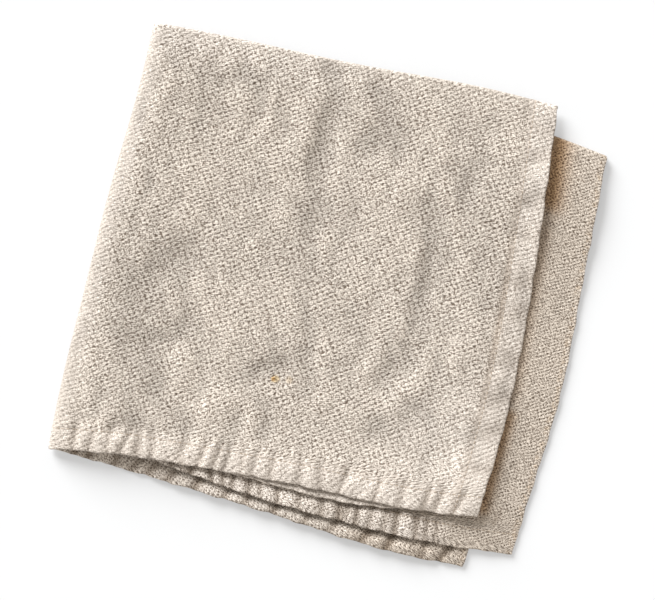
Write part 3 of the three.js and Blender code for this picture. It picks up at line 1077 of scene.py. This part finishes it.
# Lays the spots of the stain over the cloth's colour, with ragged rims
def stained(tree, cloth, colour, stain_uv):
    ragged = grainy(tree, cloth, 900)["Fac"]
    for step, size, strength, tint in STAIN_SPOTS:
        middle = (stain_uv[0] + step[0] * MM, stain_uv[1] + step[1] * MM, 0.0)
        inner = 0.8 * size * MM
        outer = 1.6 * size * MM
        distance = vector(tree, "LENGTH", vector(tree, "SUBTRACT", cloth, middle))
        distance = scaled(tree, ragged, inner, distance)
        share = smooth_range(tree, distance, inner, outer, strength, 0.0)
        colour = blend_colours(tree, share, colour, tint, "MULTIPLY")
    return colour


# Sewing thread, twisted
def thread_material():
    material, tree, shader = new_material("sewing_thread")
    place = make_node(tree, "ShaderNodeTexCoord").outputs["Object"]
    tone = grainy(tree, place, 1400)["Fac"]
    feed(tree, shader.inputs["Base Color"], blend_colours(tree, tone, *THREAD_COLOURS))
    feed_all(tree, shader, THREAD_SURFACE)
    twist = make_node(tree, "ShaderNodeTexWave", wave_type="BANDS", bands_direction="DIAGONAL")
    feed_all(tree, twist, {"Vector": place, **THREAD_TWIST})
    feed(tree, shader.inputs["Normal"], bumped(tree, twist.outputs["Fac"], THREAD_BUMP))
    return material


# Places of the seams in the sheet's grid
def seam_places(columns, rows):
    from_side = (1 - columns[1]) * MEAN_SIDE
    from_near = (1 - rows[1]) * MEAN_SIDE
    run = slice(SEAM_ENDS, -SEAM_ENDS)
    near_rows = np.flatnonzero(np.abs(from_near - NEAR_STITCHES) < NEAR_SEAM_WITHIN)
    side_columns = np.flatnonzero((columns[0] > 0) & (from_side < SIDE_STITCHES + SIDE_SEAM_WITHIN))
    return [(run, row) for row in near_rows] + [(side_columns[0], run)]


# Lines of sewing on both faces, as loose edges that carry the face's direction
def sewing_lines(faces, columns, rows):
    points = []
    directions = []
    edges = []
    middle = faces.mean(axis=0)
    places = seam_places(columns, rows)
    for face in faces:
        for place in places:
            path = face[place].copy()
            outward = path - middle[place]
            outward /= np.linalg.norm(outward, axis=1, keepdims=True)
            path[:, 2] = np.maximum(path[:, 2], STITCH_LOWEST * MM)
            first = len(points)
            points += path.tolist()
            directions += outward.tolist()
            edges += [(first + step, first + step + 1) for step in range(len(path) - 1)]
    mesh = bpy.data.meshes.new("hem_stitches")
    mesh.from_pydata(points, edges, [])
    point_values(mesh, "outward", directions, "FLOAT_VECTOR", "vector")
    return new_object("hem_stitches", mesh)


# One stitch: a bead drawn out along the seam
def stitch_bead(tree, given):
    bead = make_node(tree, "GeometryNodeMeshUVSphere", {"Segments": 8, "Rings": 5, "Radius": 0.5})
    shape = make_node(tree, "ShaderNodeCombineXYZ")
    feed_all(tree, shape, {"X": given["Length"], "Y": given["Thread"], "Z": given["Thread"]})
    stitch = make_node(tree, "GeometryNodeTransform")
    feed_all(tree, stitch, {"Geometry": bead.outputs["Mesh"], "Scale": shape.outputs["Vector"]})
    return stitch.outputs["Geometry"]


# Turn of each stitch along the seam
def stitch_turn(tree):
    along = make_node(tree, "FunctionNodeAlignRotationToVector", axis="X")
    feed_all(tree, along, {"Vector": make_node(tree, "GeometryNodeInputTangent").outputs["Tangent"]})
    outward = make_node(tree, "GeometryNodeInputNamedAttribute", data_type="FLOAT_VECTOR")
    feed_all(tree, outward, {"Name": "outward"})
    upright = make_node(tree, "FunctionNodeAlignRotationToVector", axis="Z", pivot_axis="X")
    feed_all(tree, upright, {"Rotation": along.outputs["Rotation"], "Vector": outward.outputs["Attribute"]})
    return upright.outputs["Rotation"]


# Geometry nodes that lay stitches along the sewing lines
def stitch_tree(thread):
    inputs = {"Geometry": "Geometry", "Pitch": "Float", "Length": "Float", "Thread": "Float"}
    tree, given, result = new_group("hem_stitching", "GeometryNodeTree", inputs, {"Geometry": "Geometry"})
    path = make_node(tree, "GeometryNodeMeshToCurve", {"Mesh": given["Geometry"]})
    even = make_node(tree, "GeometryNodeResampleCurve", mode="LENGTH")
    feed_all(tree, even, {"Curve": path.outputs["Curve"], "Length": given["Pitch"]})
    uneven = make_node(tree, "FunctionNodeRandomValue", STITCH_VARIES, data_type="FLOAT_VECTOR")
    laid = make_node(tree, "GeometryNodeInstanceOnPoints")
    feed_all(tree, laid, {
        "Points": even.outputs["Curve"],
        "Instance": stitch_bead(tree, given),
        "Rotation": stitch_turn(tree),
        "Scale": uneven.outputs["Value"],
    })
    shape = laid.outputs["Instances"]
    for kind in ("GeometryNodeRealizeInstances", "GeometryNodeSetShadeSmooth"):
        shape = make_node(tree, kind, {"Geometry": shape}).outputs["Geometry"]
    finish = make_node(tree, "GeometryNodeSetMaterial", {"Geometry": shape, "Material": thread})
    feed(tree, result["Geometry"], finish.outputs["Geometry"])
    return tree


def socket_of(tree, name):
    sockets = (item for item in tree.interface.items_tree if item.in_out == "INPUT")
    return next(item.identifier for item in sockets if item.name == name)


# Runs a tree on an object and keeps the result as a plain mesh
def grown(piece, tree, **sizes):
    nodes = piece.modifiers.new("made", "NODES")
    nodes.node_group = tree
    for name, value in sizes.items():
        nodes[socket_of(tree, name)] = value
    bpy.context.view_layer.update()
    shown = piece.evaluated_get(bpy.context.evaluated_depsgraph_get())
    plain = bpy.data.meshes.new_from_object(shown)
    piece.modifiers.remove(nodes)
    piece.data = plain
    return piece


# Floor, light and camera
def pale_floor():
    mesh = bpy.data.meshes.new("floor")
    corners = [(FLOOR_HALF * x, FLOOR_HALF * y, 0) for x, y in ((-1, -1), (1, -1), (1, 1), (-1, 1))]
    mesh.from_pydata(corners, [], [(0, 1, 2, 3)])
    floor = new_object("floor", mesh)
    material, tree, shader = new_material("pale_floor")
    feed_all(tree, shader, FLOOR_SURFACE)
    floor.data.materials.append(material)
    floor.location.z = -FLOOR_DROP * MM


def soft_light():
    lamp = bpy.data.lights.new("window_light", "SUN")
    for name, value in LIGHT.items():
        setattr(lamp, name, value)
    holder = new_object("window_light", lamp)
    holder.rotation_euler = Vector(LIGHT_FROM).to_track_quat("Z", "Y").to_euler()
    world = bpy.data.worlds.new("studio")
    world.use_nodes = True
    feed_all(world.node_tree, world.node_tree.nodes["Background"], SURROUND)
    bpy.context.scene.world = world
    bpy.context.scene.view_settings.view_transform = "Standard"


def overhead_camera():
    lens = bpy.data.cameras.new("overhead")
    lens.sensor_width = SENSOR_WIDTH
    lens.lens = SENSOR_WIDTH * CAMERA_HEIGHT / PHOTO_WIDTH
    camera = new_object("overhead", lens)
    camera.location = (CAMERA_AT[0] * MM, CAMERA_AT[1] * MM, CAMERA_HEIGHT)
    camera.rotation_euler = (0, 0, CAMERA_TURN)
    bpy.context.scene.camera = camera


# Where a place on the top layer lies in the flat pattern
def flat_place(faces, flat, at):
    face = faces[0].reshape(-1, 3)
    target = np.array((at[0] + DRAWING_SHIFT[0], at[1] + DRAWING_SHIFT[1])) * MM
    on_top = face[:, 2] > TOP_LAYER_ABOVE * MM
    away = np.hypot(face[:, 0] - target[0], face[:, 1] - target[1]) + np.where(on_top, 0, 1)
    return flat[np.argmin(away)]


columns = stations(LEFT_FOLD_DEPTH, COLUMN_FOLD_STEPS, COLUMN_STEP, COLUMN_HEM_LINES)
rows = stations(FAR_FOLD_DEPTH, ROW_FOLD_STEPS, ROW_STEP, ROW_HEM_LINES)
napkin, faces, flat = folded_sheet(columns, rows)
linen = linen_material(weave_group(), slub_group(), flat_place(faces, flat, STAIN_AT))
napkin.data.materials.append(linen)
thread = thread_material()
stitches = grown(
    sewing_lines(faces, columns, rows),
    stitch_tree(thread),
    Pitch=STITCH_PITCH * MM,
    Length=STITCH_LENGTH * MM,
    Thread=STITCH_THREAD * MM,
)

pale_floor()
soft_light()
overhead_camera()

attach(napkin, "root")
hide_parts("napkin")
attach(stitches, "root")
